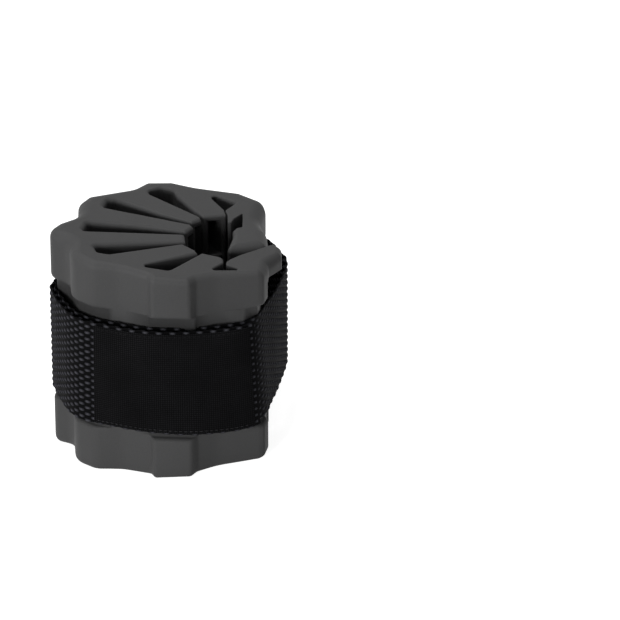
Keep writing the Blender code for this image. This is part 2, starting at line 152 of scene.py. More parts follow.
# From the mouth's wall through every slot and wedge, and back up the inside of the arm
INSIDE = (
    (35.2, -17.4, 2.0, 1.0), (31.2, -21.7, 2.0, 1.0), (29.6, -24.3, 2.0, 1.0),
    # The slit slot, and the wedge and slot at the front
    (29.6, -27.3, 0.8, THIN_RIM), (37.4, -31.3, 1.3, THIN_RIM),
    (22.4, -33.5, 1.0, THIN_RIM), (28.3, -25.9, 0.8, THIN_RIM),
    (28.3, -22.1, 1.5, 1.2), (27.2, -19.9, 1.5, END_RIM), (18.65, -17.25, 0.6, END_RIM),
    (4.6, -35.2, 2.0, SLOT_RIM), (-9.3, -34.0, 1.5, THIN_RIM),
    # The fifth and fourth wedges, with the slots that follow them
    (17.1, -18.3, 0.8, END_RIM), (15.8, -15.0, 0.8, END_RIM), (10.0, -9.85, 0.8, END_RIM),
    (-22.0, -23.6, 2.0, SLOT_RIM), (-27.0, -22.7, 2.0, SLOT_RIM),
    (-28.7, -17.9, 2.0, SLOT_RIM), (-27.0, -16.5, 2.0, SLOT_RIM),
    (11.4, -8.9, 0.8, END_RIM), (10.7, -0.75, 0.8, END_RIM),
    (-34.6, -3.4, 1.2, SLOT_RIM), (-32.6, 4.6, 2.0, SLOT_RIM), (-10.0, 3.5, 2.0, SLOT_RIM),
    # The third and second wedges, with the slots that follow them
    (11.2, 0.55, 0.8, END_RIM), (14.6, 6.4, 0.8, END_RIM), (13.3, 9.15, 0.8, END_RIM),
    (-26.0, 20.4, 1.2, SLOT_RIM), (-24.4, 27.5, 2.0, SLOT_RIM),
    (-20.8, 28.2, 2.0, SLOT_RIM), (0.0, 16.1, 2.0, SLOT_RIM),
    (13.8, 10.2, 0.8, END_RIM), (17.8, 13.9, 0.8, END_RIM), (17.4, 17.0, 0.8, END_RIM),
    (-8.3, 37.4, 3.0, 1.0), (-1.0, 42.5, 3.0, 1.4), (4.5, 41.1, 3.0, 1.4),
    (6.5, 35.3, 3.0, SLOT_RIM), (14.5, 21.4, 3.0, SLOT_RIM),
    # The wedge and slot at the back
    (18.55, 16.7, 0.8, 1.2), (29.1, 19.4, 0.8, 1.2),
    (27.9, 24.7, 0.6, 0.5), (19.8, 40.2, 1.5, SLOT_RIM),
    (32.6, 32.9, 1.0, SLOT_RIM), (28.45, 24.2, 0.5, 0.5),
    # The nose, and the inside of the arm
    (29.7, 19.5, 1.5, 0.5), (29.9, 12.9, 0.4, 0.5), (31.3, 13.0, 0.4, 0.5),
    (32.4, 16.6, 2.0, 0.5), (36.4, 22.6, 0.3, 0.5),
    (36.3, 9.9, 0.8, 1.0), (33.6, 8.6, 1.5, 1.5), (32.0, 6.0, 1.5, 2.0),
    (32.3, 1.4, 2.0, 2.5), (29.5, -12.2, 1.5, 3.5),
)


def unit(degrees: float) -> Array:
    """The plan direction at this angle."""
    return np.array([math.cos(math.radians(degrees)), math.sin(math.radians(degrees))])


def side_normals(points: Array) -> tuple[Array, Array]:
    """The unit normals to the left of the edges before and after each point of a closed line.

    Args:
        points: The closed line.

    Returns:
        The normals before each point, and those after.
    """
    run = np.roll(points, -1, axis=0) - points
    run = run / np.linalg.norm(run, axis=1)[:, None]
    after = np.stack([-run[:, 1], run[:, 0]], axis=1)
    return np.roll(after, 1, axis=0), after


def corner_arc(
    before: Array, corner: Array, after: Array, bend: float, steps: int,
    reach: float = math.inf,
) -> list[Array]:
    """Sweeps a corner between two points into an arc.

    Args:
        before: The point before the corner.
        corner: The corner.
        after: The point after it.
        bend: The arc's radius.
        steps: How many facets the arc takes.
        reach: The furthest that the arc may start from the corner.

    Returns:
        The arc's points.
    """
    back = (before - corner) / np.linalg.norm(before - corner)
    ahead = (after - corner) / np.linalg.norm(after - corner)
    half = 0.5 * (math.pi - math.acos(np.clip(back @ ahead, -1.0, 1.0)))
    radius = min(bend * math.tan(half), reach) / math.tan(half)
    middle = (back + ahead) / np.linalg.norm(back + ahead)
    across = (ahead - back) / np.linalg.norm(ahead - back)
    centre = corner + middle * (radius / math.cos(half))
    angles = [half * (2.0 * k / steps - 1.0) for k in range(steps + 1)]
    return [centre + radius * (math.sin(a) * across - math.cos(a) * middle) for a in angles]


@dataclass(frozen=True)
class PadOutline:
    """The plan and the heights that the body and the strap are both drawn from."""

    height: float = 101.5
    face_slope: float = 0.0745
    foot_y: float = -5.5
    waist_height: float = 60.5
    pad_end_round: float = 2.0
    foot_rim_share: float = 0.67
    lip_depth: float = 8.0
    lip_underside: float = 0.3
    bend_step: float = 6.0
    tight_bend: float = 3.0
    tight_bend_step: float = 16.0
    least_facets: int = 2
    least_bend: float = 0.3
    bend_share_of_edge: float = 0.45
    least_mitre: float = 0.35
    steep_wall: float = 6.0
    steep_turn: float = 0.75
    slide_share: float = 0.65
    # Painted shade inside the slots: this share of it stays at their mouths, and it eases off towards
    # the passage's middle, down to its least share
    mouth_shade_share: float = 0.12
    passage_centre: tuple[float, float] = (25.0, 1.5)
    passage_reach: float = 15.0
    passage_fade: float = 8.0
    passage_least_shade: float = 0.15

    def corners(self) -> list[Corner]:
        """The whole outline as one closed line."""
        return [Corner(*row) for row in OUTSIDE + INSIDE]

    def end_height(self, x: Array | float) -> Array | float:
        """Half the pad's height where it crosses x."""
        return self.height / 2 - self.face_slope * x

    def inset(self, points: Array, distance: Array) -> Array:
        """The points moved to the left of both their edges by their own distances.

        Args:
            points: The closed line's corners.
            distance: How far each moves.

        Returns:
            The moved corners.
        """
        before, after = side_normals(points)
        mitre = np.maximum(1.0 + (before * after).sum(axis=1), self.least_mitre)
        return points + (distance / mitre)[:, None] * (before + after)

    def stepped(self, points: Array, proud: Array) -> Array:
        """Moves the proud corners in by their steps.

        A proud corner beside a short steep wall slides down that wall. The others move in
        square to both their faces.

        Args:
            points: The closed line's corners.
            proud: How far each corner stands proud of the waist.

        Returns:
            The waist's corners.
        """
        moved = self.inset(points, proud)
        before, after = side_normals(points)
        for i in np.flatnonzero(proud > 0.0):
            if before[i] @ after[i] >= self.steep_turn:
                continue
            for other, facing in ((i - 1, after[i]), ((i + 1) % len(points), before[i])):
                wall = points[other] - points[i]
                length = np.linalg.norm(wall)
                if length < self.steep_wall and proud[other] == 0.0:
                    way = wall / length
                    slide = min(proud[i] / (way @ facing), self.slide_share * self.steep_wall)
                    moved[i] = points[i] + way * slide
        return moved

    def bend_steps(self, line: Sequence[Corner]) -> Array:
        """How many facets each corner's bend takes, the same at every level.

        Args:
            line: The outline's corners.

        Returns:
            Each corner's number of facets.
        """
        before, after = side_normals(np.array([(c.x, c.y) for c in line]))
        turn = np.degrees(np.arccos(np.clip((before * after).sum(axis=1), -1.0, 1.0)))
        wide = np.array([c.bend for c in line]) >= self.tight_bend
        step = np.where(wide, self.bend_step, self.tight_bend_step)
        return np.maximum(np.ceil(turn / step).astype(int), self.least_facets)

    def rounded(self, points: Array, bends: Array, steps: Array) -> tuple[Array, Array]:
        """Sweeps each corner of a closed line into an arc.

        Args:
            points: The corners.
            bends: Each corner's radius.
            steps: Each corner's number of facets.

        Returns:
            The rounded line's points, and the corner that each belongs to.
        """
        found = []
        for i, point in enumerate(points):
            before, after = points[i - 1], points[(i + 1) % len(points)]
            shorter = min(np.linalg.norm(before - point), np.linalg.norm(after - point))
            reach = self.bend_share_of_edge * shorter
            found += corner_arc(before, point, after, bends[i], int(steps[i]), reach)
        return np.array(found), np.repeat(np.arange(len(points)), steps + 1)

    def ring(self, line: Sequence[Corner], level: Level) -> tuple[Array, Array]:
        """The closed ring of points at one level.

        Args:
            line: The outline's corners.
            level: Where the ring lies.

        Returns:
            The ring's points, and the share of painted shade at each of them: nought on the
            outside, one on the walls inside, and less at the slots' mouths and near the passage's
            middle.
        """
        points = np.array([c.tuck if level.tucked and c.tuck else (c.x, c.y) for c in line])
        share = self.foot_rim_share if level.side is Side.FOOT else 1.0
        rims = share * np.array([c.rim for c in line])
        turned = math.radians(level.round_angle)
        moved = rims * (1.0 - math.cos(turned))
        before, after = side_normals(points)
        convex = before[:, 0] * after[:, 1] - before[:, 1] * after[:, 0] > 0.0
        bends = np.array([c.bend for c in line])
        bends = np.maximum(np.where(convex, bends - moved, bends + moved), self.least_bend)
        proud = level.waist_share * np.array([c.proud for c in line])
        corners = self.stepped(self.inset(points, moved), proud)
        plan, owners = self.rounded(corners, bends, self.bend_steps(line))
        if level.height is not None:
            heights = np.full(len(plan), level.height)
        else:
            drop = rims[owners] * (1.0 - math.sin(turned))
            drop = np.where(level.below_face > 0.0, level.below_face, drop)
            heights = level.side.value * (self.end_height(plan[:, 0]) - drop)
        # Painted shade inside the slots, eased off at their mouths and near the passage's middle
        shade_at_mouth = 1.0 if level.tucked else self.mouth_shade_share * math.cos(turned)
        away = np.linalg.norm(plan - self.passage_centre, axis=1)
        painted_shade = np.clip((away - self.passage_reach) / self.passage_fade, self.passage_least_shade, 1.0)
        return np.column_stack([plan, heights]), (owners >= len(OUTSIDE)) * shade_at_mouth * painted_shade

    def lean(self) -> Matrix:
        """The placing that sets the foot face on the floor, from millimetres to metres.

        Returns:
            The transform that every piece takes.
        """
        foot = Vector((0.0, self.foot_y, -self.end_height(0.0)))
        return (
            Matrix.Rotation(math.atan(self.face_slope), 4, "Y")
            @ Matrix.Scale(MM, 4)
            @ Matrix.Translation(-foot)
        )


# Shared mesh work

# A block's edge runs along an axis if its two ends lie further apart on it than this
LEAST_RUN = 0.5


def block(length: float, width: float, height: float) -> BMesh:
    """A box about the origin.

    Args:
        length: Its size along x.
        width: Its size along y.
        height: Its size along z.

    Returns:
        The box's mesh.
    """
    bm = bmesh.new()
    bmesh.ops.create_cube(bm, size=1.0)
    bmesh.ops.scale(bm, vec=(length, width, height), verts=bm.verts)
    return bm


def edges_along(bm: BMesh, axis: int) -> list[bmesh.types.BMEdge]:
    """The edges of a block that run along this axis."""
    ends = [(edge, [vert.co[axis] for vert in edge.verts]) for edge in bm.edges]
    return [edge for edge, (first, last) in ends if abs(first - last) > LEAST_RUN]


def soften(bm: BMesh, edges: Sequence[bmesh.types.BMEdge], offset: float, segments: int) -> None:
    """Rounds edges of a mesh.

    Args:
        bm: The mesh.
        edges: The edges.
        offset: How far from an edge its rounding starts.
        segments: How many facets it takes.
    """
    bmesh.ops.bevel(
        bm, geom=edges, offset=offset, segments=segments, profile=0.5, affect="EDGES", material=-1
    )


def smooth(bm: BMesh) -> None:
    """Turns a mesh's faces outwards and shades them smoothly.

    Args:
        bm: The mesh.
    """
    bmesh.ops.recalc_face_normals(bm, faces=bm.faces)
    for face in bm.faces:
        face.smooth = True


def add_object(name: str, data: bpy.types.ID) -> Object:
    """Adds an object with this data to the scene.

    Args:
        name: Its name.
        data: Its mesh, lamp or camera.

    Returns:
        The new object.
    """
    piece = bpy.data.objects.new(name, data)
    bpy.context.scene.collection.objects.link(piece)
    return piece


def add_mesh(bm: BMesh, name: str, material: Material) -> Object:
    """Adds a mesh to the scene in one material. The bmesh is freed.

    Args:
        bm: The mesh.
        name: The new object's name.
        material: Its material.

    Returns:
        The new object.
    """
    mesh = bpy.data.meshes.new(name)
    bm.to_mesh(mesh)
    bm.free()
    mesh.materials.append(material)
    return add_object(name, mesh)


class Workbench:
    """Turns finished bmeshes into pieces of the scene."""

    def __init__(self, outline: PadOutline) -> None:
        """Keeps the placing that every piece shares."""
        self.placing = outline.lean()

    def lay(self, bm: BMesh, name: str, material: Material) -> Object:
        """Places a mesh from the pad's own frame and makes it an object."""
        bmesh.ops.transform(bm, matrix=self.placing, verts=bm.verts)
        return add_mesh(bm, name, material)

    def finish(self, bm: BMesh, name: str, material: Material) -> Object:
        """Places a mesh, makes it an object and lets it ride on the pad.

        Args:
            bm: The mesh in the pad's own frame, freed here.
            name: The new piece's name.
            material: Its material.

        Returns:
            The new object.
        """
        piece = self.lay(bm, name, material)
        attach(piece, BODY)
        LOG.info("%s: %d faces", name, len(piece.data.polygons))
        return piece


def carve(piece: Object, cutters: Sequence[Object]) -> None:
    """Cuts the cutters from a piece for good and removes them.

    Args:
        piece: The piece, which gets a new mesh.
        cutters: Closed objects, which may overlap.
    """
    for cutter in cutters:
        modifier = piece.modifiers.new(cutter.name, "BOOLEAN")
        modifier.operation = "DIFFERENCE"
        modifier.solver = "EXACT"
        modifier.object = cutter
    graph = bpy.context.evaluated_depsgraph_get()
    carved = bpy.data.meshes.new_from_object(piece.evaluated_get(graph))
    piece.modifiers.clear()
    piece.data = carved
    for cutter in cutters:
        bpy.data.objects.remove(cutter)


# Materials


class NodeSheet:
    """A short way to place and join shader nodes."""

    def __init__(self, tree: NodeTree) -> None:
        """Starts on this node tree."""
        self.tree = tree

    def add(self, kind: str, settings: dict | None = None, **inputs: object) -> Node:
        """Adds a node.

        Args:
            kind: The node's type without its ShaderNode prefix.
            settings: Properties of the node.
            **inputs: Socket values or the sockets that feed them, by name with _ for spaces.

        Returns:
            The new node.
        """
        node = self.tree.nodes.new("ShaderNode" + kind)
        for key, value in (settings or {}).items():
            setattr(node, key, value)
        for key, value in inputs.items():
            self.feed(node.inputs[key.replace("_", " ")], value)
        return node

    def feed(self, socket: NodeSocket, value: object) -> None:
        """Links a socket to another, or sets its value.

        Args:
            socket: The socket.
            value: A value, or the socket that feeds it.
        """
        if isinstance(value, NodeSocket):
            self.tree.links.new(value, socket)
        else:
            socket.default_value = value

    def maths(
        self, operation: str, first: object, second: object = 0.0, third: object = 0.0
    ) -> NodeSocket:
        """A maths node's result.

        Args:
            operation: What the node works out.
            first: Its first value or socket.
            second: Its second one.
            third: Its third one.

        Returns:
            The result's socket.
        """
        node = self.tree.nodes.new("ShaderNodeMath")
        node.operation = operation
        for socket, value in zip(node.inputs, (first, second, third)):
            self.feed(socket, value)
        return node.outputs[0]

    def wave(self, turns: object) -> NodeSocket:
        """A wave between nought and one, by how many turns it has made."""
        sine = self.maths("SINE", self.maths("MULTIPLY", turns, 2.0 * math.pi))
        return self.maths("MULTIPLY_ADD", sine, 0.5, 0.5)

    def unrolled(self) -> Sequence[NodeSocket]:
        """A piece's own unrolled map, along it and across."""
        place = self.add("UVMap", {"uv_map": "unrolled"}).outputs[0]
        return self.add("SeparateXYZ", Vector=place).outputs

    def blend(self, share: object, first: object, second: object) -> NodeSocket:
        """A mix of two colours.

        Args:
            share: How much of the second there is.
            first: A colour.
            second: Another colour.

        Returns:
            The mixed colour's socket.
        """
        node = self.tree.nodes.new("ShaderNodeMix")
        node.data_type = "RGBA"
        self.feed(node.inputs[0], share)
        self.feed(node.inputs[6], first)
        self.feed(node.inputs[7], second)
        return node.outputs[2]


def new_material(name: str) -> tuple[Material, NodeSheet, Node]:
    """Starts a material with a Principled shader.

    Args:
        name: Its name.

    Returns:
        The material, its sheet and its shader node.
    """
    material = bpy.data.materials.new(name)
    material.use_nodes = True
    return material, NodeSheet(material.node_tree), material.node_tree.nodes["Principled BSDF"]


class SharedEffects:
    """The node groups that more than one material uses."""

    def __init__(self) -> None:
        """Builds each group once."""
        self.mottle = self._mottle()
        self.ribs = self._ribs()

    @staticmethod
    def _group(
        name: str, inputs: dict[str, float], outputs: Sequence[str]
    ) -> tuple[NodeTree, NodeSheet, Node, Node]:
        """Starts a group of plain number sockets.

        Args:
            name: The group's name.
            inputs: Its inputs, with their values when nothing feeds them.
            outputs: Its outputs.

        Returns:
            The group, its sheet, and its two end nodes.
        """
        group = bpy.data.node_groups.new(name, "ShaderNodeTree")
        for label, value in inputs.items():
            socket = group.interface.new_socket(label, in_out="INPUT", socket_type="NodeSocketFloat")
            socket.default_value = value
        for label in outputs:
            group.interface.new_socket(label, in_out="OUTPUT", socket_type="NodeSocketFloat")
        sheet = NodeSheet(group)
        return group, sheet, group.nodes.new("NodeGroupInput"), group.nodes.new("NodeGroupOutput")

    def _mottle(self) -> NodeTree:
        """Fine grain over broad cloudy variation, on the piece's own coordinates.

        Returns:
            The group.
        """
        group, sheet, given, result = self._group(
            "fine_mottle", {"Grain per metre": 2500.0, "Cloud per metre": 60.0}, ["Grain", "Cloud"]
        )
        place = sheet.add("TexCoord").outputs["Object"]
        grain = sheet.add("TexNoise", Vector=place, Scale=given.outputs[0], Detail=3.0, Roughness=0.6)
        cloud = sheet.add("TexNoise", Vector=place, Scale=given.outputs[1], Detail=4.0, Roughness=0.55)
        sheet.feed(result.inputs["Grain"], grain.outputs[0])
        sheet.feed(result.inputs["Cloud"], cloud.outputs[0])
        return group

    def _ribs(self) -> NodeTree:
        """Crossed fine ribs along a piece's own unrolled map, with pitches in its units.

        Returns:
            The group.
        """
        group, sheet, given, result = self._group(
            "crossed_ribs", {"Along pitch": 0.5, "Across pitch": 0.5}, ["Height"]
        )
        unrolled = sheet.unrolled()
        turns = [sheet.maths("DIVIDE", unrolled[axis], given.outputs[axis]) for axis in (0, 1)]
        height = sheet.maths("MULTIPLY", *[sheet.wave(axis_turns) for axis_turns in turns])
        sheet.feed(result.inputs["Height"], height)
        return group


@dataclass(frozen=True, kw_only=True)
class Finish:
    """What every finish has: its colour, its shine and how its relief looks."""

    name: str
    colour: RGB
    roughness: float
    specular: float
    relief_depth: float
    relief_strength: float

    def dress(
        self, sheet: NodeSheet, shader: Node, tone: object, level: object, relief: object
    ) -> None:
        """Feeds the shader.

        Args:
            sheet: The material's sheet.
            shader: Its shader node.
            tone: The colour before it is shaded.
            level: How bright each place is.
            relief: How high each place is.
        """
        shade = sheet.add("VectorMath", {"operation": "SCALE"}, Scale=level)
        sheet.feed(shade.inputs[0], tone)
        bump = sheet.add(
            "Bump", Strength=self.relief_strength, Distance=self.relief_depth, Height=relief
        )
        sheet.feed(shader.inputs["Base Color"], shade.outputs[0])
        sheet.feed(shader.inputs["Roughness"], self.roughness)
        sheet.feed(shader.inputs["Specular IOR Level"], self.specular)
        sheet.feed(shader.inputs["Normal"], bump.outputs[0])


@dataclass(frozen=True, kw_only=True)
class RubberFinish(Finish):
    """Matt moulded rubber with a fine grain, and painted shade inside its slots."""

    name: str = "pad_rubber_moulded"
    colour: RGB = (0.051, 0.051, 0.0515)
    # The near-black of the painted shade inside the slots
    painted_slot_shade: RGB = (0.006, 0.006, 0.0061)
    roughness: float = 0.6
    roughness_range: float = 0.12
    specular: float = 0.12
    relief_depth: float = 0.00004
    relief_strength: float = 0.35
    speckle: float = 0.35
    speckle_floor: float = 0.82

    def material(self, effects: SharedEffects) -> Material:
        """The rubber's material.

        Args:
            effects: The node groups that materials share.

        Returns:
            The material.
        """
        material, sheet, shader = new_material(self.name)
        mottle = sheet.add("Group", {"node_tree": effects.mottle}).outputs
        # Painted shade: the colour darkens to near-black inside the slots, by the mask that the body's
        # vertices carry
        painted_slot_shade = sheet.add("Attribute", {"attribute_name": "painted_slot_shade"}).outputs["Fac"]
        tone = sheet.blend(painted_slot_shade, (*self.colour, 1.0), (*self.painted_slot_shade, 1.0))
        level = sheet.maths("MULTIPLY_ADD", mottle["Grain"], self.speckle, self.speckle_floor)
        self.dress(sheet, shader, tone, level, mottle["Grain"])
        least = self.roughness - self.roughness_range / 2
        rough = sheet.maths("MULTIPLY_ADD", mottle["Cloud"], self.roughness_range, least)
        sheet.feed(shader.inputs["Roughness"], rough)
        return material


@dataclass(frozen=True, kw_only=True)
class YarnFinish(Finish):
    """Dull spun yarn with its twist, in a dark dye, with painted shade where it dips into the weave.
    """

    name: str = "webbing_yarn"
    colour: RGB = (0.068, 0.068, 0.079)
    # The near-black of the painted shade in the weave's hollows
    painted_shade: RGB = (0.0015, 0.0015, 0.0017)
    roughness: float = 0.7
    specular: float = 0.03
    relief_depth: float = 0.00007
    relief_strength: float = 0.8
    twist_pitch: float = 0.42
    fibre: float = 0.5
    fibre_floor: float = 0.45

    def material(self, effects: SharedEffects) -> Material:
        """The yarn's material, whose twist follows its unrolled map.

        Args:
            effects: The node groups that materials share.

        Returns:
            The material.
        """
        material, sheet, shader = new_material(self.name)
        grain = sheet.add("Group", {"node_tree": effects.mottle}).outputs["Grain"]
        unrolled = sheet.unrolled()
        slanting = sheet.maths("ADD", unrolled[0], unrolled[1])
        twist = sheet.wave(sheet.maths("DIVIDE", slanting, self.twist_pitch))
        # Painted shade: the colour falls to near-black where the yarn dips below the weave's surface
        raised = sheet.add("Attribute", {"attribute_name": "raised"}).outputs["Fac"]
        tone = sheet.blend(raised, (*self.painted_shade, 1.0), (*self.colour, 1.0))
        fibres = sheet.maths("ADD", twist, grain)
        level = sheet.maths("MULTIPLY_ADD", fibres, self.fibre, self.fibre_floor)
        self.dress(sheet, shader, tone, level, twist)
        return material


@dataclass(frozen=True, kw_only=True)
class WovenFinish(Finish):
    """A fine flat weave, as on the label and the closing tapes."""

    pitch: float
    roughness: float = 0.8
    specular: float = 0.02
    relief_strength: float = 0.7
    contrast: float = 1.5

    def material(self, effects: SharedEffects) -> Material:
        """The weave's material, on the piece's unrolled map.

        Args:
            effects: The node groups that materials share.

        Returns:
            The material.
        """
        material, sheet, shader = new_material(self.name)
        cloud = sheet.add("Group", {"node_tree": effects.mottle}).outputs["Cloud"]
        ribs = sheet.add("Group", {"node_tree": effects.ribs})
        for socket in ribs.inputs:
            socket.default_value = self.pitch
        height = ribs.outputs["Height"]
        level = sheet.maths("MULTIPLY_ADD", height, self.contrast, 1.0 - self.contrast / 2)
        mixed = sheet.maths("MULTIPLY", level, sheet.maths("ADD", cloud, 0.5))
        self.dress(sheet, shader, self.colour, mixed, height)
        return material


# The moulded body


@dataclass(frozen=True)
class PocketColumn:
    """A column of pockets in a wedge's end: where it opens, which way it runs, and how wide."""

    x: float
    y: float
    angle: float
    width: float


@dataclass
class MouldedPad:
    """The rubber body: lobed outside, slotted inside, with pockets in the ends of its wedges."""

    outline: PadOutline
    crown_rim_steps: int = 9
    foot_rim_steps: int = 7
    shoulder_steps: int = 5
    shoulder_share: float = 0.5
    pocket_rows: int = 5
    pocket_height: float = 17.2
    pocket_pitch: float = 19.0
    pocket_depth: float = 14.0
    pocket_run_in: float = 3.0
    pocket_edge: float = 0.6
    pocket_edge_steps: int = 3
    anchor_at: tuple[float, float] = (28.1, 35.5)
    anchor_angle: float = 60.0
    anchor_width: float = 5.0
    anchor_height: float = 56.0
    anchor_reach: tuple[float, float] = (-3.0, 16.0)
    anchor_edge: float = 2.49
    anchor_edge_steps: int = 8
    columns: tuple[PocketColumn, ...] = (
        PocketColumn(24.0, 18.1, 120.0, 6.2),
        PocketColumn(16.9, 12.9, 149.0, 4.2),
        PocketColumn(13.0, 4.6, 166.0, 4.8),
        PocketColumn(11.1, -4.8, 186.0, 4.4),
        PocketColumn(13.9, -13.9, 207.0, 4.8),
        PocketColumn(23.4, -18.9, 232.0, 4.6),
    )

    def levels(self) -> list[Level]:
        """The body's rings from foot to crown.

        Returns:
            The levels, whose rings join into one closed wall.
        """
        foot = [
            Level(Side.FOOT, 90.0 * k / self.foot_rim_steps)
            for k in range(self.foot_rim_steps, -1, -1)
        ]
        crown = [
            Level(Side.CROWN, 90.0 * k / self.crown_rim_steps, tucked=False)
            for k in range(self.crown_rim_steps + 1)
        ]
        half = self.outline.waist_height / 2
        drops = []
        for k in range(self.shoulder_steps + 1):
            turned = 0.5 * math.pi * k / self.shoulder_steps
            rise = self.outline.pad_end_round * (1.0 - math.sin(turned))
            drops.append((rise, self.shoulder_share * (1.0 - math.cos(turned))))
        drops.append((0.0, 1.0))
        lower = [Level(Side.FOOT, height=-half - up, waist_share=share) for up, share in drops]
        drops.reverse()
        upper = [Level(Side.CROWN, height=half + up, waist_share=share) for up, share in drops]
        depth = self.outline.lip_depth
        lip = [
            Level(Side.CROWN, below_face=depth + self.outline.lip_underside),
            Level(Side.CROWN, below_face=depth, tucked=False),
        ]
        return foot + lower + upper + lip + crown

    def shell(self) -> BMesh:
        """The closed body before its pockets, raised ring by ring from its foot face.

        Returns:
            The body's mesh.
        """
        line = self.outline.corners()
        levels = self.levels()
        bm = bmesh.new()
        # Each vertex carries its share of the painted shade inside the slots
        painted_slot_shade = bm.verts.layers.float.new("painted_slot_shade")
        ring = [bm.verts.new(co) for co in self.outline.ring(line, levels[0])[0]]
        face = bm.faces.new(ring)
        for level in levels[1:]:
            face = bmesh.ops.extrude_discrete_faces(bm, faces=[face])["faces"][0]
            for vert, co, painted_shade in zip(face.verts, *self.outline.ring(line, level)):
                vert.co = co
                vert[painted_slot_shade] = painted_shade
        open_edges = [edge for edge in bm.edges if edge.is_boundary]
        bmesh.ops.contextual_create(bm, geom=open_edges)
        for side in bm.faces:
            side.smooth = len(side.verts) <= 4
        return bm

    @staticmethod
    def aim(
        bm: BMesh, shift: tuple[float, float, float], angle: float, at: tuple[float, float]
    ) -> BMesh:
        """Shifts a block, turns it in plan and sets it at a place.

        Args:
            bm: The block.
            shift: How far it is shifted first.
            angle: The way that its length then runs, in degrees.
            at: Where its origin comes to lie.

        Returns:
            The same block.
        """
        turn = Matrix.Rotation(math.radians(angle), 3, "Z")
        bmesh.ops.translate(bm, vec=shift, verts=bm.verts)
        bmesh.ops.rotate(bm, matrix=turn, verts=bm.verts)
        bmesh.ops.translate(bm, vec=(*at, 0.0), verts=bm.verts)
        return bm

    def pocket_block(self, column: PocketColumn, row: int) -> BMesh:
        """The block that one pocket is cut by.

        Args:
            column: The pocket's column.
            row: Its row, from the foot.

        Returns:
            The block's mesh.
        """
        bm = block(self.pocket_run_in + self.pocket_depth, column.width, self.pocket_height)
        soften(bm, edges_along(bm, 2), self.pocket_edge, self.pocket_edge_steps)
        inward = (self.pocket_depth - self.pocket_run_in) / 2
        up = (row - (self.pocket_rows - 1) / 2) * self.pocket_pitch
        return self.aim(bm, (inward, 0.0, up), column.angle, (column.x, column.y))

    def anchor_block(self) -> BMesh:
        """The block with half-round ends that the strap's slot is cut by.

        Returns:
            The block's mesh.
        """
        near, far = self.anchor_reach
        bm = block(far - near, self.anchor_width, self.anchor_height)
        soften(bm, edges_along(bm, 0), self.anchor_edge, self.anchor_edge_steps)
        return self.aim(bm, ((near + far) / 2, 0.0, 0.0), self.anchor_angle, self.anchor_at)

    def build(self, bench: Workbench, material: Material) -> Object:
        """Builds and dresses the body, in place of its plain solid.

        Args:
            bench: Makes the piece.
            material: Its material.

        Returns:
            The body.
        """
        blocks = [self.anchor_block()]
        for column in self.columns:
            blocks += [self.pocket_block(column, row) for row in range(self.pocket_rows)]
        piece = bench.finish(self.shell(), "moulded_pad", material)
        carve(piece, [bench.lay(bm, f"cutter_{i}", material) for i, bm in enumerate(blocks)])
        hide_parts("pad_body")
        return piece


# The strap

# Curves by angle round the ring's centre, as (angle, millimetres). Angles go on past a turn.
# How far the first lap stands off the waist's hull: it swells out over the mouth
FIRST_LAP = (
    (40.0, 0.35), (90.0, 0.4), (180.0, 0.4), (250.0, 0.6), (292.0, 2.4), (318.0, 0.9),
    (340.0, 2.2), (372.0, 9.0), (400.0, 4.4), (411.0, 2.7), (420.0, 2.3),
)

# How far the outer face lies from the ring's centre on each lap, over the front and the mouth
FRONT_FIRST = (
    (185.0, 48.6), (200.0, 47.6), (208.0, 48.0), (216.0, 48.8), (222.0, 49.0), (228.0, 48.6),
    (236.0, 47.1), (243.0, 46.3), (250.0, 46.3), (262.0, 47.0), (272.0, 47.9), (283.0, 49.6),
    (292.0, 51.4), (302.0, 54.2), (312.0, 57.0), (319.0, 58.0), (326.0, 56.6), (333.0, 54.6),
    (340.0, 53.8), (347.0, 53.7), (355.0, 54.2), (363.0, 55.6), (376.0, 59.2), (390.0, 62.4),
)
FRONT_SECOND = (
    (545.0, 51.3), (555.0, 50.5), (563.0, 50.4), (568.0, 50.6), (576.0, 51.9), (582.0, 52.7),
    (588.0, 53.0), (592.0, 52.3), (596.0, 51.3), (601.0, 50.5), (607.0, 50.2), (615.0, 50.4),
    (623.0, 50.9), (632.0, 51.8), (643.0, 53.5), (652.0, 55.3), (662.0, 58.1), (669.0, 60.1),
    (673.0, 61.0), (680.0, 61.2),
)

# How far the strap's lower edge stands out, and its upper edge in, from its middle
FRONT_LEAN = (
    (200.0, 0.0), (216.0, 0.4), (231.0, 0.8), (251.0, 0.9), (270.0, 1.4), (289.0, 2.4),
    (300.0, 2.4), (313.0, 2.1), (326.0, 1.6), (340.0, 0.9), (355.0, 0.2), (372.0, 0.0),
)


def eased(knots: Sequence[tuple[float, float]], at: float) -> float:
    """A smooth curve through the knots that never overshoots, held level beyond its ends.

    Args:
        knots: Places and the values there.
        at: The place asked for.

    Returns:
        The curve's value.
    """
    x, y = np.array(knots).T
    at = float(np.clip(at, x[0], x[-1]))
    steep = np.diff(y) / np.diff(x)
    both = steep[:-1] * steep[1:]
    total = np.where(both > 0.0, steep[:-1] + steep[1:], 1.0)
    inner = np.where(both > 0.0, 2.0 * both / total, 0.0)
    slope = np.concatenate([[0.0], inner, [0.0]])
    i = np.clip(np.searchsorted(x, at) - 1, 0, len(x) - 2)
    width = x[i + 1] - x[i]
    t = (at - x[i]) / width
    return (
        y[i] * (1 + 2 * t) * (1 - t) ** 2 + width * slope[i] * t * (1 - t) ** 2
        + y[i + 1] * t * t * (3 - 2 * t) + width * slope[i + 1] * t * t * (t - 1)
    )


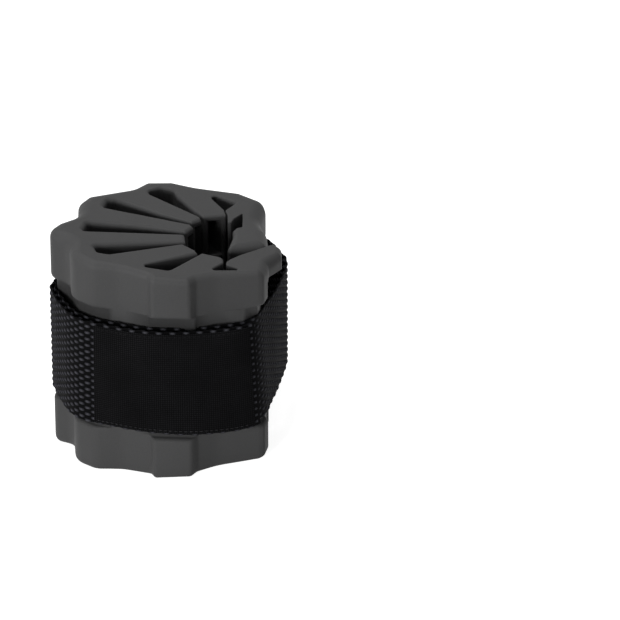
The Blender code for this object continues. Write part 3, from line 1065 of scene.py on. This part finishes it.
@dataclass
class StrapRoute:
    """The strap's way round the pad in plan: rolled hem, anchor slot, and nearly two laps."""

    outline: PadOutline
    thick: float = 1.5
    ring_centre: tuple[float, float] = (-0.3, 3.5)
    start_angle: float = 62.0
    end_angle: float = 676.8
    hem_centre: tuple[float, float] = (28.15, 31.6)
    hem_inner: float = 1.0
    hem_outer: float = 2.05
    hem_turn: float = 216.0
    hem_steps: int = 18
    anchor_angle: float = 60.0
    anchor_bend: float = 2.0
    anchor_bend_steps: int = 12
    lap_gap: float = 0.3
    tape_thick: float = 1.0
    tape_slack: float = 0.4
    laps_cross: float = 411.0
    cross_span: float = 25.0
    second_from: float = 480.0
    fronts: tuple[tuple[float, float], ...] = ((180.0, 395.0), (545.0, 760.0))
    front_ease: float = 18.0
    point_step: float = 1.5
    corner_step: float = 4.0
    fine_step: float = 0.25
    smoothing: float = 5.0
    half_width: float = 25.0
    points: Array = field(init=False)
    run: Array = field(init=False)
    outward: Array = field(init=False)
    angles: Array = field(init=False)
    leaning: Array = field(init=False)

    def __post_init__(self) -> None:
        """Lays the route out and measures it."""
        taut = self.taut_line()
        laps, angles = self.lap_points(taut)
        hem = self.hem_points()
        way = unit(self.anchor_angle)
        run = laps[1] - laps[0]
        reach = np.linalg.solve(np.column_stack([way, -run]), laps[0] - hem[-1])[0]
        turn = hem[-1] + reach * way
        bend = corner_arc(hem[-1], turn, laps[0], self.anchor_bend, self.anchor_bend_steps)
        lead = np.array([*hem, *bend, laps[0]])
        line = np.concatenate([lead, laps[1:]])
        about = np.concatenate([np.full(len(lead), angles[0]), angles[1:]])
        lengths = np.concatenate([[0.0], np.cumsum(np.linalg.norm(np.diff(line, axis=0), axis=1))])
        self.run = np.arange(0.0, lengths[-1], self.fine_step)
        self.angles = np.interp(self.run, lengths, about)
        even = np.column_stack([np.interp(self.run, lengths, line[:, k]) for k in (0, 1)])
        self.points = self.softened(even, lengths[len(lead)])
        tangent = np.gradient(self.points, axis=0)
        tangent = tangent / np.linalg.norm(tangent, axis=1)[:, None]
        self.outward = np.stack([tangent[:, 1], -tangent[:, 0]], axis=1)
        self.leaning = np.array([self.lean_at(angle) for angle in self.angles])

    def softened(self, line: Array, keep_until: float) -> Array:
        """The line with its bends eased over a few millimetres, beyond its tight start.

        Args:
            line: The strap's middle line at even steps.
            keep_until: How far along it the tight start reaches.

        Returns:
            The softened line.
        """
        reach = int(self.smoothing / self.fine_step)
        weights = np.hanning(2 * reach + 3)[1:-1]
        weights = weights / weights.sum()
        padded = np.pad(line, ((reach, reach), (0, 0)), mode="reflect", reflect_type="odd")
        soft = np.column_stack([np.convolve(padded[:, k], weights, mode="valid") for k in (0, 1)])
        share = np.clip((self.run - keep_until) / (2.0 * self.smoothing), 0.0, 1.0)[:, None]
        return line * (1.0 - share) + soft * share

    def hem_points(self) -> Array:
        """The rolled hem, from its inside to where it leaves for the slot.

        Returns:
            The hem's points.
        """
        leave = self.anchor_angle + 90.0
        found = []
        for share in np.linspace(0.0, 1.0, self.hem_steps + 1):
            radius = self.hem_inner + share * (self.hem_outer - self.hem_inner)
            way = unit(leave + self.hem_turn * (1.0 - share))
            found.append(np.array(self.hem_centre) + radius * way)
        return np.array(found)

    def waist_hull(self) -> Array:
        """The convex hull of the waist, counter-clockwise.

        Returns:
            The hull's corners.
        """
        waist = Level(Side.CROWN, height=0.0, waist_share=1.0)
        ordered = sorted(map(tuple, self.outline.ring(self.outline.corners(), waist)[0][:, :2]))
        halves = []
        for run in (ordered, ordered[::-1]):
            half: list[tuple[float, float]] = []
            for p in run:
                while len(half) > 1:
                    (ax, ay), (bx, by) = half[-2], half[-1]
                    if (bx - ax) * (p[1] - by) - (by - ay) * (p[0] - bx) > 0.0:
                        break
                    half.pop()
                half.append(p)
            halves.append(half[:-1])
        return np.array(halves[0] + halves[1])

    def taut_line(self) -> tuple[Array, Array, Array]:
        """Points, outward normals and angles once round the waist's hull.

        Returns:
            The points, their outward normals and their angles, from angle nought on.
        """
        edge = self.waist_hull()
        outward = -side_normals(edge)[1]
        found = []
        for i, point in enumerate(edge):
            first, last = (math.atan2(n[1], n[0]) for n in (outward[i - 1], outward[i]))
            sweep = (last - first) % (2.0 * math.pi)
            arcs = math.ceil(math.degrees(sweep) / self.corner_step)
            for k in range(arcs + 1):
                found.append((point, unit(math.degrees(first + sweep * k / arcs))))
            run = edge[(i + 1) % len(edge)] - point
            parts = math.ceil(np.linalg.norm(run) / self.point_step)
            found += [(point + run * k / parts, outward[i]) for k in range(1, parts)]
        points = np.array([p for p, _ in found])
        normals = np.array([n for _, n in found])
        angles = np.degrees(np.arctan2(*(points - self.ring_centre).T[::-1])) % 360.0
        first = int(np.argmin(angles))
        return tuple(np.roll(a, -first, axis=0) for a in (points, normals, angles))

    def lap_space(self, angle: float) -> float:
        """The gap between the two laps, which takes both closing tapes over the front.

        Args:
            angle: An angle counted past a turn.

        Returns:
            The gap.
        """
        both = 2 * self.tape_thick + 3 * self.lap_gap
        knots = [
            (400.0, self.lap_gap), (560.0, self.lap_gap), (582.0, both),
            (640.0, both + self.tape_slack), (680.0, both),
        ]
        return eased(knots, angle)

    def stand_off(self, angle: float) -> float:
        """How far the strap's inner face stands off the hull, at an angle counted past a turn.

        Args:
            angle: An angle counted past a turn.

        Returns:
            The distance.
        """
        first = eased(FIRST_LAP, angle)
        if angle <= self.laps_cross:
            return first
        second = eased(FIRST_LAP, angle - 360.0) + self.thick + self.lap_space(angle)
        share = min((angle - self.laps_cross) / self.cross_span, 1.0)
        return first * (1.0 - share) + second * share

    def front_radius(self, angle: float) -> float:
        """How far the strap's outer face lies from the ring's centre at the front and the mouth."""
        return eased(FRONT_FIRST if angle < self.second_from else FRONT_SECOND, angle)

    def lean_at(self, angle: float) -> float:
        """How far the strap's lower edge stands out, and its upper edge in, from its middle."""
        return eased(FRONT_LEAN, angle if angle < self.second_from else angle - 360.0)

    def on_front(self, point: Array, angle: float) -> Array:
        """The point moved to the front's measured line, gradually where the front begins and ends.

        Args:
            point: A point of the strap's middle line.
            angle: Its angle, counted past a turn.

        Returns:
            The moved point.
        """
        share = 0.0
        for start, end in self.fronts:
            into = np.clip((angle - start) / self.front_ease, 0.0, 1.0)
            out = np.clip((end - angle) / self.front_ease, 0.0, 1.0)
            share = max(share, min(into, out))
        share = share * share * (3.0 - 2.0 * share)
        radius = self.front_radius(angle) - self.thick / 2
        laid = np.array(self.ring_centre) + radius * unit(angle)
        return point * (1.0 - share) + laid * share

    def lap_points(self, taut: tuple[Array, Array, Array]) -> tuple[Array, Array]:
        """The strap's middle line round the pad, from its start angle to its end.

        Args:
            taut: Points, outward normals and angles once round the waist's hull.

        Returns:
            The line's points, and their angles, which go on past a turn.
        """
        points, normals, angles = taut
        found = []
        about = []
        for turn in (0.0, 360.0):
            for point, normal, angle in zip(points, normals, angles + turn):
                if self.start_angle <= angle <= self.end_angle:
                    laid = point + (self.stand_off(angle) + self.thick / 2) * normal
                    found.append(self.on_front(laid, angle))
                    about.append(angle)
        return np.array(found), np.array(about)

    def length(self) -> float:
        """The strap's whole length."""
        return float(self.run[-1])

    def run_at(self, angle: float) -> float:
        """How far along the strap this angle lies."""
        return float(np.interp(angle, self.angles, self.run))

    def place(self, along: Array, out: Array, height: Array | float) -> Array:
        """Sets points on the strap.

        Args:
            along: How far along the strap each lies.
            out: How far outside the strap's middle.
            height: How high.

        Returns:
            The points in the pad's own frame.
        """
        columns = []
        out = out - np.interp(along, self.run, self.leaning) * height / self.half_width
        for k in (0, 1):
            base = np.interp(along, self.run, self.points[:, k])
            columns.append(base + out * np.interp(along, self.run, self.outward[:, k]))
        return np.column_stack([*columns, np.broadcast_to(height, along.shape)])


Shape = Callable[[Array], tuple[Array, Array, Array]]


def bend_sheet(bm: BMesh, route: StrapRoute, shape: Shape) -> None:
    """Moves a flat mesh onto the strap's route.

    Args:
        bm: The mesh, whose x and y are in the units that shape takes.
        route: The strap's way.
        shape: Turns the flat points into lengths along, distances out and heights.
    """
    flat = np.array([vert.co for vert in bm.verts])
    for vert, co in zip(bm.verts, route.place(*shape(flat))):
        vert.co = co


def unroll(bm: BMesh) -> None:
    """Keeps the flat mesh's own x and y as its unrolled map.

    Args:
        bm: The mesh, before it is bent onto the route.
    """
    layer = bm.loops.layers.uv.new("unrolled")
    for face in bm.faces:
        for loop in face.loops:
            loop[layer].uv = loop.vert.co.xy


@dataclass
class Webbing:
    """The woven strap: warp yarns that pass over and under the weft, round a core whose near-black is
    painted shade between them.
    """

    route: StrapRoute
    width: float = 50.0
    yarns: int = 32
    weft_pitch: float = 3.06
    yarn_thick: float = 0.75
    yarn_fill: float = 0.96
    # How steeply the painted shade deepens as a yarn dips into the weave
    raised_power: float = 4.0
    # The yarns stop this short of the strap's end, so that the near-black core shows there: the sealed
    # end's own dark edge, and painted shadow
    sealed_end: float = 1.4
    steps_per_float: int = 5
    yarn_sides: int = 7
    core_thick: float = 0.7
    detail_from: float = 300.0
    crimp_power: float = 0.7
    swell: float = 0.12
    pinch: float = 0.1
    least_rows: int = 4
    merge: float = 0.001
    core_margin: float = 0.9
    edge_yarns: int = 2

    def yarn(self, bm: BMesh, index: int, start: float, end: float) -> None:
        """Adds one warp yarn to the mesh.

        Args:
            bm: The mesh of the whole bundle.
            index: Which yarn, from the lower edge.
            start: Where it starts along the strap.
            end: Where it ends.
        """
        rows = max(int((end - start) / self.weft_pitch * self.steps_per_float), self.least_rows)
        grid = bmesh.ops.create_grid(bm, x_segments=rows, y_segments=self.yarn_sides, size=0.5)
        verts = grid["verts"]
        flat = np.array([vert.co for vert in verts])
        along = start + (flat[:, 0] + 0.5) * (end - start)
        around = 2.0 * math.pi * (flat[:, 1] + 0.5)
        phase = np.cos(math.pi * (along / self.weft_pitch + index))
        crimp = np.sign(phase) * np.abs(phase) ** self.crimp_power
        pitch = self.width / self.yarns
        swell = 1.0 + self.swell * np.abs(crimp) - self.pinch
        across = np.cos(around) * pitch / 2 * self.yarn_fill * swell
        lift = crimp * (self.route.thick - self.yarn_thick) / 2
        out = lift + np.sin(around) * self.yarn_thick / 2
        placed = self.route.place(along, out, (index + 0.5) * pitch - self.width / 2 + across)
        raised = bm.verts.layers.float["raised"]
        layer = bm.loops.layers.uv["unrolled"]
        girth = around * self.yarn_thick / 2
        for vert, co, u, v, r in zip(verts, placed, along, girth, np.abs(out)):
            vert.co = co
            # The raised share sets the painted shade in the weave's hollows
            vert[raised] = min(r / (self.route.thick / 2), 1.0) ** self.raised_power
            for loop in vert.link_loops:
                loop[layer].uv = (u, v)
        bmesh.ops.remove_doubles(bm, verts=verts, dist=self.merge)

    def bundle(self, indices: Sequence[int], start: float, end: float) -> BMesh:
        """A mesh of several yarns over one stretch of the strap.

        Args:
            indices: Which yarns, from the lower edge.
            start: Where they start along the strap.
            end: Where they end.

        Returns:
            The closed yarns.
        """
        bm = bmesh.new()
        bm.verts.layers.float.new("raised")
        bm.loops.layers.uv.new("unrolled")
        for index in indices:
            self.yarn(bm, index, start, end)
        bmesh.ops.holes_fill(bm, edges=[edge for edge in bm.edges if edge.is_boundary])
        smooth(bm)
        return bm

    def core(self) -> BMesh:
        """The core that fills the strap between its yarns, closed all round; its near-black material
        is painted shade.

        Returns:
            The core's mesh.
        """
        length = self.route.length()
        width = self.width - self.core_margin
        bm = block(1.0, 1.0, 1.0)
        bmesh.ops.subdivide_edges(
            bm, edges=edges_along(bm, 0), cuts=int(length), use_grid_fill=True
        )

        def shape(flat: Array) -> tuple[Array, Array, Array]:
            """Maps the cube onto the strap."""
            return (flat[:, 0] + 0.5) * length, flat[:, 1] * self.core_thick, flat[:, 2] * width

        unroll(bm)
        bend_sheet(bm, self.route, shape)
        bmesh.ops.recalc_face_normals(bm, faces=bm.faces)
        return bm

    def build(self, bench: Workbench, yarn: Material, core: Material) -> list[Object]:
        """Builds the strap in place of its plain solid.

        Every yarn is there where the strap shows, and only the edge yarns and the core where
        another lap covers it.

        Args:
            bench: Makes the pieces.
            yarn: The yarns' material.
            core: The core's material.

        Returns:
            The strap's pieces.
        """
        bare = self.route.run_at(self.detail_from)
        end = self.route.length() - self.sealed_end
        every = list(range(self.yarns))
        edges = every[:self.edge_yarns] + every[-self.edge_yarns:]
        pieces = [
            bench.finish(self.bundle(every, bare, end), "webbing_outer_lap", yarn),
            bench.finish(self.bundle(edges, 0.0, bare), "webbing_inner_edges", yarn),
            bench.finish(self.core(), "webbing_core", core),
        ]
        for piece in pieces:
            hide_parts("strap_webbing")
        return pieces


@dataclass
class SewnStrip:
    """A thin woven strip on the strap: the label or a closing tape."""

    route: StrapRoute
    name: str
    node: str
    slot: str
    start_angle: float
    end_angle: float
    middle_out: float
    thick: float
    width: float
    edge_round: float = 0.15
    edge_steps: int = 3

    def mesh(self) -> BMesh:
        """The strip as a closed sheet with softened edges.

        Returns:
            The strip's mesh.
        """
        start = self.route.run_at(self.start_angle)
        length = self.route.run_at(self.end_angle) - start
        bm = block(length, self.width, self.thick)
        soften(bm, bm.edges[:], self.edge_round, self.edge_steps)
        for k in range(1, int(length)):
            cut_at = (length * (k / int(length) - 0.5), 0.0, 0.0)
            whole = [*bm.verts, *bm.edges, *bm.faces]
            bmesh.ops.bisect_plane(bm, geom=whole, plane_co=cut_at, plane_no=(1.0, 0.0, 0.0))
        unroll(bm)

        def shape(flat: Array) -> tuple[Array, Array, Array]:
            """Maps the flat strip onto the strap."""
            return start + length / 2 + flat[:, 0], self.middle_out + flat[:, 2], flat[:, 1]

        bend_sheet(bm, self.route, shape)
        smooth(bm)
        return bm

    def build(self, bench: Workbench, material: Material) -> Object:
        """Builds and dresses the strip in place of its plain solid.

        Args:
            bench: Makes the piece.
            material: Its material.

        Returns:
            The strip.
        """
        piece = bench.finish(self.mesh(), self.name, material)
        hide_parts(self.node)
        return piece


@dataclass
class Stitching:
    """Rows of short thread stitches along the label's two long edges."""

    label: SewnStrip
    inset: float = 1.3
    pitch: float = 2.2
    stitch_length: float = 1.4
    thread: float = 0.36
    facets: tuple[int, int] = (8, 6)

    def mesh(self) -> BMesh:
        """Every stitch as a closed bead that is sunk by half its thickness.

        Returns:
            One mesh of all the stitches.
        """
        route = self.label.route
        start = route.run_at(self.label.start_angle)
        length = route.run_at(self.label.end_angle) - start
        out = self.label.middle_out + self.label.thick / 2
        around, up = self.facets
        bm = bmesh.new()
        layer = bm.loops.layers.uv.new("unrolled")
        for side in (-1.0, 1.0):
            middle = side * (self.label.width / 2 - self.inset)
            for k in range(1, int(length / self.pitch)):
                bead = bmesh.ops.create_uvsphere(bm, u_segments=around, v_segments=up, radius=0.5)
                flat = np.array([vert.co for vert in bead["verts"]])
                along = start + k * self.pitch + flat[:, 0] * self.stitch_length
                height = middle + flat[:, 1] * self.thread
                placed = route.place(along, out + flat[:, 2] * self.thread, height)
                for vert, co, u in zip(bead["verts"], placed, along):
                    vert.co = co
                    for loop in vert.link_loops:
                        loop[layer].uv = (u, middle)
        smooth(bm)
        return bm

    def build(self, bench: Workbench, material: Material) -> Object:
        """Builds and dresses the stitches."""
        return bench.finish(self.mesh(), "label_stitches", material)


# The studio

WHITE = (1.0, 1.0, 1.0, 1.0)


@dataclass(frozen=True)
class Lamp:
    """A soft rectangular lamp that looks at the pad."""

    name: str
    place: tuple[float, float, float]
    size: float
    power: float


@dataclass
class Studio:
    """Floor, light and camera."""

    outline: PadOutline
    floor_reach: float = 3.0
    floor_white: float = 0.5
    floor_roughness: float = 0.9
    floor_lift: float = 0.9
    world_light: float = 0.12
    lens: float = 290.3
    camera_place: tuple[float, float, float] = (66.53, -1967.9, 1083.75)
    camera_tilt: float = 61.4
    lamp_target: tuple[float, float, float] = (0.0, 0.0, 0.05)
    lamps: tuple[Lamp, ...] = (
        Lamp("lamp_left", (-0.6, -0.98, 0.32), 0.4, 11.3),
        Lamp("lamp_right", (0.5, -1.0, 0.2), 0.3, 0.6),
        Lamp("lamp_top", (-0.1, 0.1, 1.2), 0.5, 9.5),
    )

    @staticmethod
    def seen_rays(sheet: NodeSheet) -> NodeSocket:
        """One for the rays that carry a picture of the backdrop, nought for its light.

        Args:
            sheet: The sheet that the nodes go on.

        Returns:
            The share's socket.
        """
        rays = sheet.add("LightPath")
        first = sheet.maths("MAXIMUM", rays.outputs["Is Camera Ray"], rays.outputs["Is Glossy Ray"])
        return sheet.maths("MAXIMUM", first, rays.outputs["Is Transmission Ray"])

    def floor(self) -> None:
        """A plain white floor that keeps the pad's shadow."""
        bm = bmesh.new()
        bmesh.ops.create_grid(bm, x_segments=1, y_segments=1, size=self.floor_reach)
        material, sheet, shader = new_material("floor_white")
        lift = sheet.maths("MULTIPLY", self.seen_rays(sheet), self.floor_lift)
        sheet.feed(shader.inputs["Base Color"], (self.floor_white,) * 3 + (1.0,))
        sheet.feed(shader.inputs["Roughness"], self.floor_roughness)
        sheet.feed(shader.inputs["Emission Color"], WHITE)
        sheet.feed(shader.inputs["Emission Strength"], lift)
        piece = add_mesh(bm, "floor", material)

    def world(self) -> None:
        """An even white surround, full white only where it is seen."""
        world = bpy.data.worlds.new("studio_world")
        bpy.context.scene.world = world
        world.use_nodes = True
        sheet = NodeSheet(world.node_tree)
        background = world.node_tree.nodes["Background"]
        seen = self.seen_rays(sheet)
        strength = sheet.maths("MULTIPLY_ADD", seen, 1.0 - self.world_light, self.world_light)
        sheet.feed(background.inputs["Color"], WHITE)
        sheet.feed(background.inputs["Strength"], strength)

    def lights(self) -> None:
        """The soft lamps."""
        for lamp in self.lamps:
            data = bpy.data.lights.new(lamp.name, "AREA")
            data.size = lamp.size
            data.energy = lamp.power
            piece = add_object(lamp.name, data)
            piece.location = lamp.place
            way = Vector(self.lamp_target) - Vector(lamp.place)
            piece.rotation_euler = way.to_track_quat("-Z", "Y").to_euler()

    def camera(self) -> None:
        """The camera at the photograph's viewing angle."""
        data = bpy.data.cameras.new("camera")
        data.lens = self.lens
        piece = add_object("camera", data)
        place = self.outline.lean() @ Vector(self.camera_place)
        leaned = Matrix.Rotation(math.atan(self.outline.face_slope), 4, "Y")
        tilted = Matrix.Rotation(math.radians(self.camera_tilt), 4, "X")
        piece.matrix_world = Matrix.Translation(place) @ leaned @ tilted
        bpy.context.scene.camera = piece

    def build(self) -> None:
        """Sets the whole studio up."""
        self.camera()
        self.world()
        self.lights()
        self.floor()
        bpy.context.scene.view_settings.view_transform = "Standard"


def main() -> None:
    """Builds every sub-assembly in order."""
    logging.basicConfig(level=logging.INFO, format="%(message)s")
    outline = PadOutline()
    Studio(outline).build()
    bench = Workbench(outline)
    effects = SharedEffects()
    MouldedPad(outline).build(bench, RubberFinish().material(effects))
    route = StrapRoute(outline)
    yarn = YarnFinish().material(effects)
    # The core's near-black colour is painted shade in the gaps between the yarns and at the strap's
    # end
    core = YarnFinish(name="webbing_core_painted_shade", colour=(0.002, 0.002, 0.002)).material(effects)
    Webbing(route).build(bench, yarn, core)
    beside = route.thick / 2 + route.lap_gap
    tape = beside + route.tape_thick / 2
    SewnStrip(
        route, "loop_tape_strip", "loop_tape", "loop_pile", start_angle=236.0, end_angle=311.0,
        middle_out=tape, thick=route.tape_thick, width=46.0,
    ).build(bench, WovenFinish(
        name="loop_pile_black", colour=(0.012, 0.012, 0.012), pitch=0.9, relief_depth=0.0003
    ).material(effects))
    SewnStrip(
        route, "hook_tape_strip", "hook_tape", "hook_face", start_angle=596.0, end_angle=671.0,
        middle_out=-tape, thick=route.tape_thick, width=46.0,
    ).build(bench, WovenFinish(
        name="hook_face_black", colour=(0.01, 0.01, 0.01), pitch=1.2, relief_depth=0.0004
    ).material(effects))
    patch = SewnStrip(
        route, "label_patch_sewn", "label_patch", "label_weave", start_angle=595.8,
        end_angle=672.8, middle_out=beside - 0.05, thick=0.5, width=48.0,
    )
    patch.build(bench, WovenFinish(
        name="label_fine_weave", colour=(0.0075, 0.0075, 0.0081), pitch=0.95, relief_depth=0.00012
    ).material(effects))
    Stitching(patch).build(bench, WovenFinish(
        name="label_thread", colour=(0.03, 0.03, 0.032), pitch=0.3, relief_depth=0.00003
    ).material(effects))


if __name__ == "__main__":
    main()
